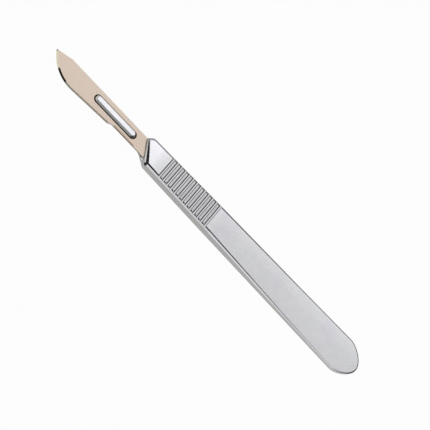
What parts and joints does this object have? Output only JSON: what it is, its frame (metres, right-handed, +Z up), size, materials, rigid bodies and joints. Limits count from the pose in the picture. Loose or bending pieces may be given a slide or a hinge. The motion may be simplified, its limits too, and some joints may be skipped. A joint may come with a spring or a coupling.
{
  "type": "scalpel",
  "caption": "Scalpel: flat steel handle with cross-grooved grip and rounded end, carrying a detachable curved-edge blade on a slotted bayonet fitting.",
  "frame": {"origin": "under the middle of the box of the scalpel as it lies on a table", "axes": "+X from the rounded end to the blade's tip, +Y towards the cutting edge, +Z up, on the side of the blade's fitting"},
  "size_m": [0.1396, 0.0126, 0.0048],
  "materials": {
    "handle_steel": "satin-polished stainless steel with bright edge chamfers",
    "blade_steel": "rolled strip steel with a warm matt tone and a darker ground edge"
  },
  "bodies": {
    "root": {"handle": "handle_steel", "blade": "blade_steel"}
  },
  "joints": []
}
